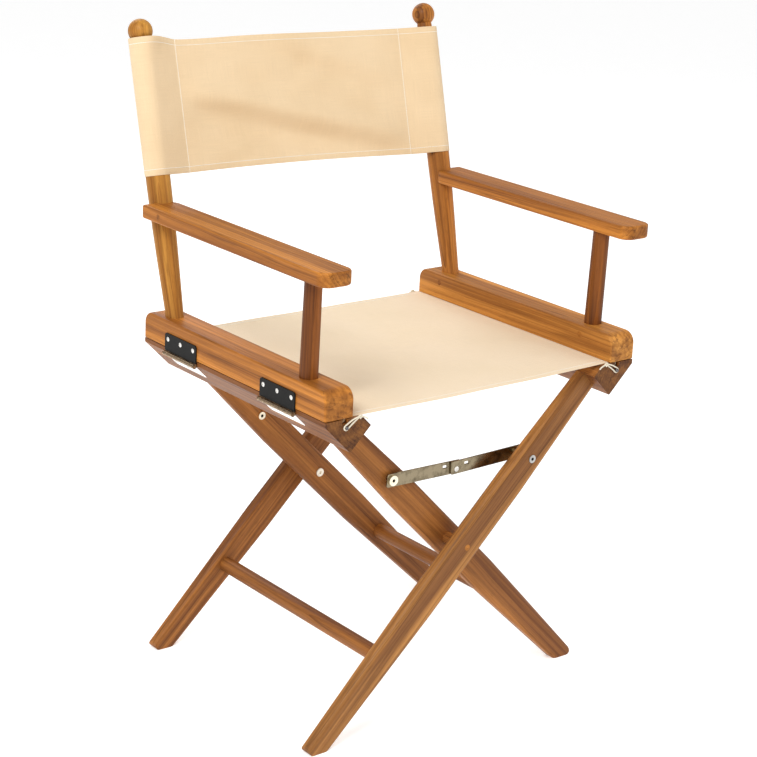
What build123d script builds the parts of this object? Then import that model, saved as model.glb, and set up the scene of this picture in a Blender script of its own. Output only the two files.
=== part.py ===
"""Folding director's chair: crossed teak legs, hinged arms, canvas seat and back.

Millimetres.  +X is the sitter's left, -Y is the front, +Z is up.  The chair is drawn
about the middle plane of its legs and moved at the end, so that the origin is the
middle of the footprint on the floor.
"""

import os
from math import acos, atan2, cos, hypot, radians, sin

from build123d import *

# ---------------------------------------------------------------- overall sizes
overall_height = 890.0      # floor to the top of the ball finials
half_width = 263.0          # middle of the chair to the outer face of an arm base
seat_height = 465.5         # floor to the flat top of the seat rails
base_front = -216.0         # front end of the arm bases and seat rails
base_back = 196.0           # back end of the arm bases and seat rails

# ---------------------------------------------------------------- crossed legs
pivot_height = 237.5
leg_thickness = 19.0
leg_half_mid = 22.5
leg_half_top = 16.5
leg_half_foot = 14.0
leg_full_above = 110.0      # the leg keeps its full width from here ...
leg_full_below = 100.0      # ... down to here, measured from the pivot
leg_edge_round = 7.0
heel_round = 12.0
toe_round = 7.0
leg_spare_length = 60.0     # sawn off at the floor once the edges are rounded
outer_leg_face = 195.5      # front and back faces of the outer frame
leg_gap = 22.5              # room between an outer leg and an inner leg
tenon_length = 14.0
tenon_half_width = 11.0
tenon_thickness = 9.0
stretcher_radius = 11.0
outer_stretcher_drop = 185.0
inner_stretcher_drop = 166.0
stretcher_socket = 11.0

# ---------------------------------------------------------------- seat rails
rail_low = 27.0             # rail below the leg centre line
rail_high = 17.0            # rail above the leg centre line
rail_flat = 20.0            # inner flat that meets the other rail when folded
rail_setback = 1.0          # rail inside the outer face of the arm base
rail_lip = 5.7
rail_edge_round = 2.0
hem_inset = 31.0            # seat hem inside the outer face of the arm base
hem_side_play = 0.7         # hem groove wider than the hem, on each side
hem_floor_play = 0.2        # hem groove deeper than the hem

# ---------------------------------------------------------------- canvas
canvas_gap = 1.6            # arm base held this far above the seat rail
canvas_thickness = 0.9
hem_clearance = 0.35        # top of the seat canvas below the arm base
hem_flap = 8.0              # hem edge inside the rod's axis
seat_end_inset = 5.0        # seat canvas short of the rail ends
rod_end_inset = 12.0
seat_rod_radius = 2.6
soft_clearance = 0.3
back_canvas_top = 857.0
back_canvas_height = 183.0  # measured along the leaning posts
sleeve_slack = 0.15         # canvas sleeve outside its post

# ---------------------------------------------------------------- arms
base_width = 44.0
base_height = 37.0
base_end_round = 16.0
base_edge_round = 3.0
post_inset = 20.0           # post axes inside the outer face of the arm base
front_post_at = -153.0
front_post_lean = 3.0       # top of the front post leans this far forward
front_post_radius_low = 12.0
front_post_radius_high = 11.3
back_post_at = 152.0
back_post_angle = 14.5
back_post_radius_low = 12.3
back_post_radius_arm = 16.0
back_post_radius_high = 16.5
post_tenon_radius = 10.0
post_tenon_length = 26.0
ball_radius = 16.5
neck_radius = 10.0
armrest_under = 636.0
armrest_thickness = 19.0
armrest_overhang = 12.5     # armrest beyond the outer face of the arm base
armrest_width = 49.0
armrest_front = -219.5
armrest_back = 184.0
armrest_corner = 16.0
armrest_back_corner = 30.0  # outer corner beside the back post
armrest_edge_round = 3.0
armrest_dowel_radius = 8.0
armrest_dowel_length = 12.0
wood_pin_radius = 4.0
wood_pin_length = 16.0
wood_pin_height = 491.0
armrest_plug_at = 146.0
armrest_plug_length = 8.0

# ---------------------------------------------------------------- hinges
hinge_length = 75.0
hinge_leaf_width = 28.0
hinge_leaf_thickness = 1.8
hinge_leaf_corner = 4.0
knuckle_radius = 3.0
knuckle_count = 5
knuckle_play = 0.2
hinge_pin_radius = 1.4
running_clearance = 0.07
hinge_back_at = 104.0
hinge_front_at = -117.5
hinge_screw_pitch = 30.0
hinge_screw_from_pin = 20.0

# ---------------------------------------------------------------- screws and bolts
screw_head_radius = 3.1
screw_head_proud = 1.1
screw_shank_radius = 1.7
screw_length = 13.0
screw_slot_width = 0.8
screw_slot_depth = 0.8
pivot_shank_radius = 3.0
pivot_sleeve_radius = 4.0
pivot_flange_radius = 6.2
pivot_flange_thickness = 1.4
pivot_head_radius = 4.3
pivot_head_thickness = 4.0
pivot_plug_thickness = 3.5
pivot_spacer_radius = 8.5
brace_pivot_up = 150.0      # leg pivot to brace pivot, along the leg
brace_sag = 4.0             # middle of the open brace below its ends
brace_width = 18.0
brace_thickness = 2.4
brace_end_beyond = 9.0
brace_end_round = 2.5
brace_rise = 2.0            # strap centre above the middle rivet
brace_slot_length = 8.0
brace_slot_width = 4.4
brace_slot_from_rivet = 18.0
brace_plane_gap = 0.1
brace_bolt_radius = 3.0
brace_head_radius = 7.0
brace_head_thickness = 2.6
brace_end_ring_radius = 5.6
brace_spacer_radius = 6.0
rivet_radius = 2.2
rivet_head_radius = 3.6
rivet_head_thickness = 1.0
socket_radius = 2.3
socket_depth = 1.8

# ---------------------------------------------------------------- seat ties
tie_radius = 1.2
tie_loop_radius = 3.0
tie_screw_inset = 32.0      # tie screws inside the outer face of the arm base
tie_screw_below = 10.5
tie_head_radius = 2.5
tie_shank_radius = 1.5
tie_screw_length = 11.0
tie_head_thickness = 1.6
tie_knot_radius = 2.2
tie_knot_inset = 53.0
tie_off_wood = 0.15

# ---------------------------------------------------------------- worked-out sizes
base_bottom = seat_height + canvas_gap
base_top = base_bottom + base_height
base_inner = half_width - base_width
rail_outer = half_width - rail_setback
inner_leg_face = outer_leg_face - leg_thickness - leg_gap
post_from_middle = half_width - post_inset
armrest_outer = half_width + armrest_overhang
tie_screw_at = half_width - tie_screw_inset
tie_knot_at = half_width - tie_knot_inset

hem_at = half_width - hem_inset
hem_radius = seat_rod_radius + canvas_thickness
hem_top = base_bottom - hem_clearance
hem_middle = hem_top - hem_radius
hem_groove_width = 2 * (hem_radius + hem_side_play)
hem_groove_depth = seat_height - (hem_middle - hem_radius - hem_floor_play)
lean = radians(back_post_angle)

lip_bottom = seat_height - rail_lip
lip_reach = hypot(rail_outer, lip_bottom - pivot_height)
leg_angle = acos(rail_low / lip_reach) - atan2(lip_bottom - pivot_height, rail_outer)
flat_end = (seat_height - pivot_height - rail_high * sin(leg_angle)) / cos(leg_angle)
rail_reach = flat_end - rail_flat

pin_out = half_width + knuckle_radius
pin_height = pivot_height + (
    pin_out * cos(leg_angle) - rail_low - knuckle_radius) / sin(leg_angle)

ball_height = overall_height - ball_radius
back_post_run = (ball_height - base_top) / cos(lean)
back_ball_at = back_post_at + back_post_run * sin(lean)
depth_middle = (armrest_front + back_ball_at + ball_radius) / 2

back_canvas_low = (back_canvas_top - base_top) / cos(lean) - back_canvas_height
sleeve_radius = back_post_radius_high + sleeve_slack + canvas_thickness

brace_link_length = hypot(brace_pivot_up * sin(leg_angle), brace_sag)

SIDES = {"right": 1, "left": -1}
ENDS = {"front": -1, "back": 1}


def save(piece, label):
    """Move a finished piece to the shared origin, name it and write its file."""
    shape = piece.part.moved(Location((0, -depth_middle, 0)))
    shape.label = label
    export_step(shape, f"parts/{label}.step")


def upright(y):
    """Sketch plane facing the front, at depth y; extruding goes towards the front."""
    return Plane.XZ.offset(-y)


def leg_point(side, along, across):
    """Point (x, z) in leg directions: along it towards its rail, across it upwards."""
    x = along * sin(leg_angle) - across * cos(leg_angle)
    z = pivot_height + along * cos(leg_angle) + across * sin(leg_angle)
    return (side * x, z)


def foot_point(side, across):
    """Point (x, 0) where the line at this distance across the leg meets the floor."""
    along = -(pivot_height + across * sin(leg_angle)) / cos(leg_angle)
    return leg_point(side, along, across)


def post_point(up):
    """Point (y, z) on a back post axis, at a distance up it from the arm base top."""
    return (back_post_at + up * sin(lean), base_top + up * cos(lean))


def post_plane(side, up):
    """Plane square to a back post axis at a distance up it from the arm base top."""
    y, z = post_point(up)
    return Plane(
        origin=(side * post_from_middle, y, z),
        x_dir=(side, 0, 0),
        z_dir=(0, sin(lean), cos(lean)),
    )


def along_y(x, z, y, direction):
    """Plane at (x, y, z) facing the back (1) or the front (-1)."""
    return Plane(origin=(x, y, z), x_dir=(1, 0, 0), z_dir=(0, direction, 0))


def disc(x, z, radius, y_from, y_to):
    """Solid cylinder between two depths, added to the part being built."""
    with BuildSketch(along_y(x, z, y_from, 1)) as round_face:
        Circle(radius)
    extrude(round_face.sketch, amount=y_to - y_from)


def bore(x, z, radius, y_from, y_to):
    """Cylindrical hole between two depths, cut from the part being built."""
    with BuildSketch(along_y(x, z, y_from, 1)) as round_face:
        Circle(radius)
    extrude(round_face.sketch, amount=y_to - y_from, mode=Mode.SUBTRACT)


# ---------------------------------------------------------------- shared fasteners
with BuildPart() as wood_screw:
    with BuildSketch(Plane.XZ):
        with BuildLine():
            Line((0, screw_head_proud), (0, -screw_length))
            Line((0, -screw_length), (screw_shank_radius, -screw_length + 4))
            Line((screw_shank_radius, -screw_length + 4), (screw_shank_radius, -2))
            Line((screw_shank_radius, -2), (screw_head_radius, -0.2))
            Line((screw_head_radius, -0.2), (screw_head_radius, 0))
            ThreePointArc(
                (screw_head_radius, 0),
                (screw_head_radius * 0.62, screw_head_proud * 0.7),
                (0, screw_head_proud),
            )
        make_face()
    revolve(axis=Axis.Z)
    for turn in (0, 90):
        with Locations(Location((0, 0, screw_head_proud), (0, 0, turn))):
            Box(
                screw_head_radius * 1.2, screw_slot_width, 2 * screw_slot_depth,
                mode=Mode.SUBTRACT,
            )


def hinge_frame(side, y, part):
    """Directions of one hinge leaf: where it starts, which way it runs and faces."""
    if part == "upper":
        runs = Vector(0, 0, 1)
        faces = Vector(side, 0, 0)
    else:
        runs = Vector(-side * sin(leg_angle), 0, -cos(leg_angle))
        faces = Vector(side * cos(leg_angle), 0, -sin(leg_angle))
    return Vector(side * pin_out, y, pin_height), runs, faces


def hinge_screws(side, part):
    """The three screws in each of the two leaves of this kind on one side."""
    with BuildPart() as screws:
        for y in (hinge_front_at, hinge_back_at):
            start, runs, faces = hinge_frame(side, y, part)
            seat = start + runs * hinge_screw_from_pin
            seat = seat - faces * (knuckle_radius - hinge_leaf_thickness)
            for step in (-1, 0, 1):
                spot = seat + Vector(0, step * hinge_screw_pitch, 0)
                with Locations(Plane(origin=spot, x_dir=runs, z_dir=faces).location):
                    add(wood_screw.part)
    return screws


def hinge_leaf(side, y, part, screws):
    """One hinge leaf with its share of the knuckles."""
    start, runs, faces = hinge_frame(side, y, part)
    outline = Plane(origin=start, x_dir=runs, z_dir=faces)
    barrel = Plane(origin=start, x_dir=runs, z_dir=runs.cross(faces))
    first = 0 if part == "upper" else 1
    bore = hinge_pin_radius if part == "upper" else hinge_pin_radius + running_clearance
    pitch = hinge_length / knuckle_count
    clear = knuckle_radius + 0.4
    with BuildPart() as leaf:
        with BuildSketch(outline.offset(-knuckle_radius)):
            with Locations(((clear + hinge_leaf_width) / 2, 0)):
                RectangleRounded(hinge_leaf_width - clear, hinge_length, hinge_leaf_corner)
            with Locations((clear + hinge_leaf_corner, 0)):
                Rectangle(2 * hinge_leaf_corner, hinge_length)
        extrude(amount=hinge_leaf_thickness)
        for index in range(first, knuckle_count, 2):
            low = -hinge_length / 2 + index * pitch + knuckle_play / 2
            with BuildSketch(barrel.offset(low)):
                Circle(knuckle_radius)
                with Locations((clear / 2, hinge_leaf_thickness / 2 - knuckle_radius)):
                    Rectangle(clear + 0.01, hinge_leaf_thickness)
                Circle(bore, mode=Mode.SUBTRACT)
            extrude(amount=pitch - knuckle_play)
        add(screws.part, mode=Mode.SUBTRACT)
    return leaf


def hinge_pins(side):
    """The two hinge pins of one side, their ends peened over the outer knuckles."""
    with BuildPart() as pins:
        for y in (hinge_front_at, hinge_back_at):
            start = Vector(side * pin_out, y - hinge_length / 2 - 0.6, pin_height)
            with BuildSketch(Plane(origin=start, x_dir=(1, 0, 0), z_dir=(0, 1, 0))):
                Circle(hinge_pin_radius)
            extrude(amount=hinge_length + 1.2)
    return pins


# ---------------------------------------------------------------- legs and rails
def leg(side, back_y):
    """One leg; side is the side its rail is on.  Bored later for bolts and dowels."""
    above_foot = [
        leg_point(side, -leg_full_below, -leg_half_mid),
        leg_point(side, leg_full_above, -leg_half_mid),
        leg_point(side, rail_reach, -leg_half_top),
        leg_point(side, rail_reach, leg_half_top),
        leg_point(side, leg_full_above, leg_half_mid),
        leg_point(side, -leg_full_below, leg_half_mid),
    ]
    below_floor = -pivot_height / cos(leg_angle) - leg_spare_length
    long_bar = [
        leg_point(side, below_floor, -leg_half_foot),
        *above_foot,
        leg_point(side, below_floor, leg_half_foot),
    ]
    cut_bar = [foot_point(side, -leg_half_foot), *above_foot, foot_point(side, leg_half_foot)]
    tenon = [
        leg_point(side, rail_reach - 1, -tenon_half_width),
        leg_point(side, rail_reach + tenon_length, -tenon_half_width),
        leg_point(side, rail_reach + tenon_length, tenon_half_width),
        leg_point(side, rail_reach - 1, tenon_half_width),
    ]
    top_middle = leg_point(side, rail_reach, 0)
    with BuildPart() as blank:
        with BuildSketch(upright(back_y)) as face:
            Polygon(*long_bar, align=None)
        extrude(amount=leg_thickness)
        rims = blank.edges().filter_by(Axis.Y, reverse=True)
        rims = [e for e in rims if -5 < e.center().Z < top_middle[1] - 20]
        fillet(rims, leg_edge_round)
        with BuildSketch(upright(back_y)) as foot:
            Polygon(*cut_bar, align=None)
            foot_corners = foot.vertices().group_by(Axis.Y)[0].sort_by(Axis.X)
            toe, heel = foot_corners if side > 0 else reversed(foot_corners)
            fillet(toe, toe_round)
            fillet(heel, heel_round)
        extrude(foot.sketch, amount=leg_thickness, mode=Mode.INTERSECT)
        with BuildSketch(upright(back_y - (leg_thickness - tenon_thickness) / 2)) as tongue:
            Polygon(*tenon, align=None)
        extrude(tongue.sketch, amount=tenon_thickness)
    return blank


def rail_blank(side):
    """Seat rail: a square beam set on edge, cut flat along the top."""
    lip_top = (side * rail_outer, seat_height)
    outline = [
        leg_point(side, rail_reach, -rail_low),
        leg_point(side, rail_reach, rail_high),
        leg_point(side, flat_end, rail_high),
        lip_top,
        (side * rail_outer, lip_bottom),
    ]
    with BuildPart() as rail:
        with BuildSketch(upright(base_back)) as face:
            Polygon(*outline, align=None)
            fillet(face.vertices().group_by(Axis.Y)[0], rail_edge_round)
        extrude(amount=base_back - base_front)
        with BuildSketch(upright(base_back)):
            with Locations((side * hem_at, seat_height)):
                Rectangle(hem_groove_width, 2 * hem_groove_depth)
        extrude(amount=base_back - base_front, mode=Mode.SUBTRACT)
    return rail


def tie_screws(side):
    """Round-headed screws in both ends of a rail, which the seat strings loop over."""
    spot = (side * tie_screw_at, seat_height - tie_screw_below)
    stand_off = 2 * tie_radius + 2 * tie_off_wood
    with BuildPart() as screws:
        for y, out in ((base_front, -1), (base_back, 1)):
            disc(*spot, tie_shank_radius, y - out * tie_screw_length, y + out * stand_off)
            top = along_y(*spot, y + out * stand_off, out)
            with BuildSketch(top) as head:
                Circle(tie_head_radius)
            extrude(head.sketch, amount=tie_head_thickness, taper=25)
    return screws


def left_seat_ties():
    """Strings from the seat hem corners to the screws in the ends of the left rail."""
    screw_z = seat_height - tie_screw_below
    with BuildPart() as ties:
        for y, out in ((base_front, -1), (base_back, 1)):
            plane_y = y + out * (tie_radius + tie_off_wood)
            centre = (-tie_screw_at, plane_y, screw_z)
            knot = (
                -tie_knot_at,
                y + out * (tie_knot_radius + tie_off_wood),
                seat_height + canvas_gap / 2,
            )
            with Locations(Location(centre, (90, 0, 0))):
                Torus(tie_loop_radius, tie_radius)
            with BuildLine(mode=Mode.PRIVATE) as run:
                FilletPolyline(
                    (-tie_screw_at + 1, plane_y, screw_z + tie_loop_radius),
                    (-tie_screw_at + 7, plane_y, seat_height),
                    knot,
                    radius=4,
                )
            with BuildSketch(Plane(origin=run.line @ 0, z_dir=run.line % 0)) as tip:
                Circle(tie_radius)
            sweep(tip.sketch, path=run.line)
            with Locations(knot):
                Sphere(tie_knot_radius)
    return ties


def seat_rod(side):
    """Rod inside the side hem of the seat, lying in the groove of the rail."""
    with BuildPart() as rod:
        disc(side * hem_at, hem_middle, seat_rod_radius,
             base_front + rod_end_inset, base_back - rod_end_inset)
    return rod


def seat_hem(side):
    """Side hem: canvas wrapped round the rod with a flap towards the seat."""
    flap_middle = (side * (hem_at - hem_flap / 2), hem_top - canvas_thickness / 2)
    with BuildPart() as hem:
        with BuildSketch(upright(base_back - seat_end_inset)):
            with Locations((side * hem_at, hem_middle)):
                Circle(hem_radius)
            with Locations(flap_middle):
                Rectangle(hem_flap, canvas_thickness)
            with Locations((side * hem_at, hem_middle)):
                Circle(seat_rod_radius, mode=Mode.SUBTRACT)
        extrude(amount=base_back - base_front - 2 * seat_end_inset)
    return hem


def seat_panel():
    """The stretched seat between the two hems; it folds down as the chair closes."""
    right = hem_at - hem_flap
    left = -right + soft_clearance
    with BuildPart() as panel:
        with BuildSketch(upright(base_back - seat_end_inset)):
            with Locations(((right + left) / 2, hem_top - canvas_thickness / 2)):
                Rectangle(right - left, canvas_thickness)
        extrude(amount=base_back - base_front - 2 * seat_end_inset)
    return panel


# ---------------------------------------------------------------- arms
def wood_pins(side):
    """Pins locking both post tenons, and the plug in the outer edge of the armrest."""
    with BuildPart() as pins:
        tenon_mid = (wood_pin_height - base_top) / cos(lean)
        back_y = post_point(tenon_mid)[0]
        for y in (front_post_at, back_y):
            spot = (side * base_inner, y, wood_pin_height)
            with BuildSketch(Plane(origin=spot, x_dir=(0, 1, 0), z_dir=(side, 0, 0))):
                Circle(wood_pin_radius)
            extrude(amount=wood_pin_length)
        spot = (side * armrest_outer, armrest_plug_at, armrest_under + armrest_thickness / 2)
        with BuildSketch(Plane(origin=spot, x_dir=(0, 1, 0), z_dir=(-side, 0, 0))):
            Circle(wood_pin_radius)
        extrude(amount=armrest_plug_length)
    return pins


def front_post(side, pins):
    """Front armrest post: a slightly tapered round post with a tenon at each end."""
    rise = armrest_under - base_top
    tilt = atan2(front_post_lean, rise)
    run = hypot(front_post_lean, rise)
    foot = Plane(
        origin=(side * post_from_middle, front_post_at, base_top),
        x_dir=(side, 0, 0),
        z_dir=(0, -sin(tilt), cos(tilt)),
    )
    with BuildPart() as post:
        with BuildSketch(foot.offset(-1.5)):
            Circle(front_post_radius_low)
        with BuildSketch(foot.offset(run + 1.5)):
            Circle(front_post_radius_high)
        loft()
        for z, keep in ((base_top, Keep.TOP), (armrest_under, Keep.BOTTOM)):
            split(bisect_by=Plane.XY.offset(z), keep=keep)
        with BuildSketch(foot.offset(-post_tenon_length)):
            Circle(post_tenon_radius)
        extrude(amount=post_tenon_length + 1)
        with BuildSketch(foot.offset(run - 1)):
            Circle(armrest_dowel_radius)
        extrude(amount=armrest_dowel_length + 1)
        add(pins.part, mode=Mode.SUBTRACT)
    return post


def back_post(side, pins):
    """Back post turned in one piece: tenon, swelling shaft, neck and ball."""
    arm_up = (armrest_under - base_top) / cos(lean)
    shoulder_up = back_post_run - ball_radius - 4.5
    swell = (back_post_radius_arm - back_post_radius_low, arm_up - 6)
    gentle = (back_post_radius_high - back_post_radius_arm, back_canvas_low - arm_up)
    with BuildPart() as post:
        foot = post_plane(side, 0)
        axis = Axis(foot.origin, foot.z_dir)
        section = Plane(origin=foot.origin, x_dir=foot.x_dir, z_dir=-foot.y_dir)
        with BuildSketch(section):
            with BuildLine():
                Line((0, -4), (back_post_radius_low, -4))
                Line((back_post_radius_low, -4), (back_post_radius_low, 6))
                Spline(
                    (back_post_radius_low, 6),
                    (back_post_radius_arm, arm_up),
                    tangents=(swell, gentle),
                )
                Spline(
                    (back_post_radius_arm, arm_up),
                    (back_post_radius_high, back_canvas_low),
                    tangents=(gentle, (0, 1)),
                )
                Line(
                    (back_post_radius_high, back_canvas_low),
                    (back_post_radius_high, shoulder_up - 2),
                )
                Line((back_post_radius_high, shoulder_up - 2), (neck_radius + 1, shoulder_up))
                Line((neck_radius + 1, shoulder_up), (neck_radius, back_post_run - 8))
                Line((neck_radius, back_post_run - 8), (0, back_post_run - 8))
                Line((0, back_post_run - 8), (0, -4))
            make_face()
        revolve(axis=axis)
        split(bisect_by=Plane.XY.offset(base_top), keep=Keep.TOP)
        with BuildSketch(foot.offset(-post_tenon_length)):
            Circle(post_tenon_radius)
        extrude(amount=post_tenon_length + 2)
        with Locations(post_plane(side, back_post_run).location):
            Sphere(ball_radius)
        add(pins.part, mode=Mode.SUBTRACT)
    return post


def arm_base(side, fills):
    """Beam lying on the seat rail, which carries both posts."""
    with BuildPart() as base:
        with BuildSketch(Plane.YZ.offset(side * base_inner)) as face:
            with Locations(((base_front + base_back) / 2, (base_bottom + base_top) / 2)):
                Rectangle(base_back - base_front, base_height)
            fillet(face.vertices().group_by(Axis.Y)[-1], base_end_round)
        extrude(amount=side * base_width)
        rims = [
            e for e in base.edges().filter_by(Axis.X, reverse=True)
            if e.center().Z > base_bottom + 1
        ]
        fillet(rims, base_edge_round)
        for fill in fills:
            add(fill.part, mode=Mode.SUBTRACT)
    return base


def armrest(side, fills):
    """Flat armrest, scooped at the back to sit against the back post."""
    middle = side * (armrest_outer - armrest_width / 2)
    with BuildPart() as rest:
        with BuildSketch(Plane.XY.offset(armrest_under)):
            with Locations((middle, (armrest_front + armrest_back) / 2)):
                board = Rectangle(armrest_width, armrest_back - armrest_front)
            corners = board.vertices().sort_by(Axis.Y)
            outer_back = corners[2:].sort_by(Axis.X)[-1 if side > 0 else 0]
            fillet([c for c in corners if c != outer_back], armrest_corner)
            fillet(outer_back, armrest_back_corner)
        extrude(amount=armrest_thickness)
        flats = rest.faces().filter_by(Plane.XY)
        fillet(flats.edges(), armrest_edge_round)
        for fill in fills:
            add(fill.part, mode=Mode.SUBTRACT)
    return rest


def back_sleeve(side):
    """Canvas sleeve round a back post."""
    with BuildPart() as sleeve:
        with BuildSketch(post_plane(side, back_canvas_low)):
            Circle(sleeve_radius)
            Circle(sleeve_radius - canvas_thickness, mode=Mode.SUBTRACT)
        extrude(amount=back_canvas_height)
    return sleeve


def back_panel():
    """Doubled canvas between the sleeves, joined to the left one."""
    y, z = post_point(back_canvas_low)
    plane = Plane(origin=(0, y, z), x_dir=(1, 0, 0), z_dir=(0, sin(lean), cos(lean)))
    reach = post_from_middle - sleeve_radius
    with BuildPart() as panel:
        with BuildSketch(plane):
            with Locations((-soft_clearance / 2 - canvas_thickness / 2, 0)):
                Rectangle(2 * reach - soft_clearance + canvas_thickness, 2 * canvas_thickness)
            with Locations((-post_from_middle, 0)):
                Circle(sleeve_radius, mode=Mode.SUBTRACT)
        extrude(amount=back_canvas_height)
    return panel


# ---------------------------------------------------------------- bolts and braces
def pivot_bolts():
    """Bolts through the leg crossings, front and back, heads sunk in the outer legs."""
    face = outer_leg_face - pivot_plug_thickness
    with BuildPart() as bolts:
        for out in (-1, 1):
            low = out * face
            disc(0, pivot_height, pivot_head_radius, low, low - out * pivot_head_thickness)
            disc(0, pivot_height, pivot_shank_radius,
                 low, out * (inner_leg_face - leg_thickness + 3))
    return bolts


def pivot_sleeves():
    """Sleeve nuts on the pivot bolts; the inner legs turn on them."""
    with BuildPart() as sleeves:
        for out in (-1, 1):
            inside = out * (inner_leg_face - leg_thickness)
            disc(0, pivot_height, pivot_sleeve_radius, out * inner_leg_face, inside)
            flange = inside - out * running_clearance
            disc(0, pivot_height, pivot_sleeve_radius, inside, flange)
            disc(0, pivot_height, pivot_flange_radius, flange,
                 flange - out * pivot_flange_thickness)
            bore(0, pivot_height, pivot_shank_radius, out * (inner_leg_face + 1),
                 out * (inner_leg_face - leg_thickness + 3))
            bore(0, pivot_height, socket_radius,
                 flange - out * (pivot_flange_thickness + 1),
                 flange - out * (pivot_flange_thickness - socket_depth))
    return sleeves


def pivot_spacers():
    """Turned wooden spacers holding the outer and inner legs apart at the pivots."""
    with BuildPart() as spacers:
        for out in (-1, 1):
            near = out * (outer_leg_face - leg_thickness)
            far = out * (inner_leg_face + running_clearance)
            disc(0, pivot_height, pivot_spacer_radius, near, far)
            bore(0, pivot_height, pivot_shank_radius, near, far)
    return spacers


def pivot_plugs():
    """Wooden plugs over the sunk heads of the pivot bolts."""
    with BuildPart() as plugs:
        for out in (-1, 1):
            disc(0, pivot_height, pivot_head_radius, out * outer_leg_face,
                 out * (outer_leg_face - pivot_plug_thickness))
    return plugs


def brace_planes(out):
    """Depths of the brace straps: outer strap from/to, inner strap from/to."""
    inner_near = inner_leg_face + 4.5
    inner_far = inner_near + brace_thickness
    outer_near = inner_far + brace_plane_gap
    outer_far = outer_near + brace_thickness
    return [out * v for v in (outer_near, outer_far, inner_near, inner_far)]


def brace_pivot(side):
    """Point (x, z) where a brace strap is bolted to its leg."""
    return leg_point(side, brace_pivot_up, 0)


def brace_link(side, out):
    """One strap of a folding brace, from its leg bolt to past the middle rivet."""
    x0, z0 = brace_pivot(side)
    x1, z1 = 0.0, z0 - brace_sag
    run = hypot(x1 - x0, z1 - z0)
    ex, ez = (x1 - x0) / run, (z1 - z0) / run
    nx, nz = (ez, -ex) if ex < 0 else (-ez, ex)
    outer_near, outer_far, inner_near, inner_far = brace_planes(out)
    near, far = (outer_near, outer_far) if side > 0 else (inner_near, inner_far)

    def strap_point(along, across):
        lift = across + brace_rise * along / run
        return (x0 + ex * along + nx * lift, z0 + ez * along + nz * lift)

    half = brace_width / 2
    corners = [
        strap_point(-brace_end_beyond, -half),
        strap_point(run + brace_end_beyond, -half),
        strap_point(run + brace_end_beyond, half),
        strap_point(-brace_end_beyond, half),
    ]
    slot = [
        strap_point(run - brace_slot_from_rivet + dx, 3.2 + dz)
        for dx, dz in (
            (-brace_slot_length / 2, -brace_slot_width / 2),
            (brace_slot_length / 2, -brace_slot_width / 2),
            (brace_slot_length / 2, brace_slot_width / 2),
            (-brace_slot_length / 2, brace_slot_width / 2),
        )
    ]
    with BuildPart() as link:
        with BuildSketch(upright(near)) as face:
            Polygon(*corners, align=None)
            fillet(face.vertices(), brace_end_round)
            Polygon(*slot, align=None, mode=Mode.SUBTRACT)
            with Locations((x0, z0)):
                Circle(brace_bolt_radius + running_clearance, mode=Mode.SUBTRACT)
            with Locations((x1, z1)):
                Circle(rivet_radius, mode=Mode.SUBTRACT)
        extrude(amount=near - far)
    return link


def rivet_half(side, out):
    """The half of the middle rivet that stays in this strap."""
    z = brace_pivot(side)[1] - brace_sag
    outer_near, outer_far, inner_near, inner_far = brace_planes(out)
    with BuildPart() as rivet:
        if side > 0:
            disc(0, z, rivet_radius, outer_near, outer_far)
            disc(0, z, rivet_head_radius, outer_far, outer_far + out * rivet_head_thickness)
        else:
            disc(0, z, rivet_radius, inner_far, inner_near)
            disc(0, z, rivet_head_radius, inner_near, inner_near - out * rivet_head_thickness)
    return rivet


def brace_bolts(side):
    """Shoulder bolts holding the brace straps, front and back, in one pair of legs."""
    x, z = brace_pivot(side)
    with BuildPart() as bolts:
        for out in (-1, 1):
            outer_near, outer_far, inner_near, inner_far = brace_planes(out)
            if side > 0:
                head = outer_near - out * brace_plane_gap / 2
                tail = out * outer_leg_face
                disc(x, z, brace_bolt_radius, outer_near, tail)
                disc(x, z, brace_end_ring_radius, tail, tail + out * 1.2)
                bore(x, z, socket_radius, tail + out * 1.2, tail)
            else:
                seat = inner_far + out * running_clearance
                inside = out * (inner_leg_face - leg_thickness)
                disc(x, z, brace_bolt_radius, seat, inside)
                disc(x, z, brace_head_radius, seat, seat + out * brace_head_thickness)
                disc(x, z, brace_spacer_radius, out * inner_leg_face,
                     inner_near - out * running_clearance)
                disc(x, z, brace_end_ring_radius, inside, inside - out * 1.2)
                bore(x, z, socket_radius, inside - out * 1.2, inside)
                bore(x, z, socket_radius, seat + out * brace_head_thickness,
                     seat + out * (brace_head_thickness - socket_depth))
    return bolts


def brace_spacers():
    """Tubes between the outer legs and their brace straps."""
    x, z = brace_pivot(1)
    with BuildPart() as spacers:
        for out in (-1, 1):
            outer_far = brace_planes(out)[1]
            near = out * (outer_leg_face - leg_thickness)
            far = outer_far + out * running_clearance
            disc(x, z, brace_spacer_radius, near, far)
            bore(x, z, brace_bolt_radius, near, far)
    return spacers


# ---------------------------------------------------------------- make everything
os.makedirs("parts", exist_ok=True)

bolts = pivot_bolts()
sleeves = pivot_sleeves()
plugs = pivot_plugs()
save(bolts, "pivot_bolts")
save(sleeves, "pivot_sleeve_nuts")
save(plugs, "pivot_plugs")
save(pivot_spacers(), "pivot_spacers")
save(brace_spacers(), "brace_spacers")

# stretchers
stretchers = {}
for name, side, drop, reach_y in (
    ("outer", 1, outer_stretcher_drop, outer_leg_face - leg_thickness + stretcher_socket),
    ("inner", -1, inner_stretcher_drop, inner_leg_face - leg_thickness + stretcher_socket),
):
    x, z = leg_point(side, -drop, 0)
    with BuildPart() as stretcher:
        disc(x, z, stretcher_radius, -reach_y, reach_y)
    stretchers[name] = stretcher
    save(stretcher, f"stretcher_{name}")

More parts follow.
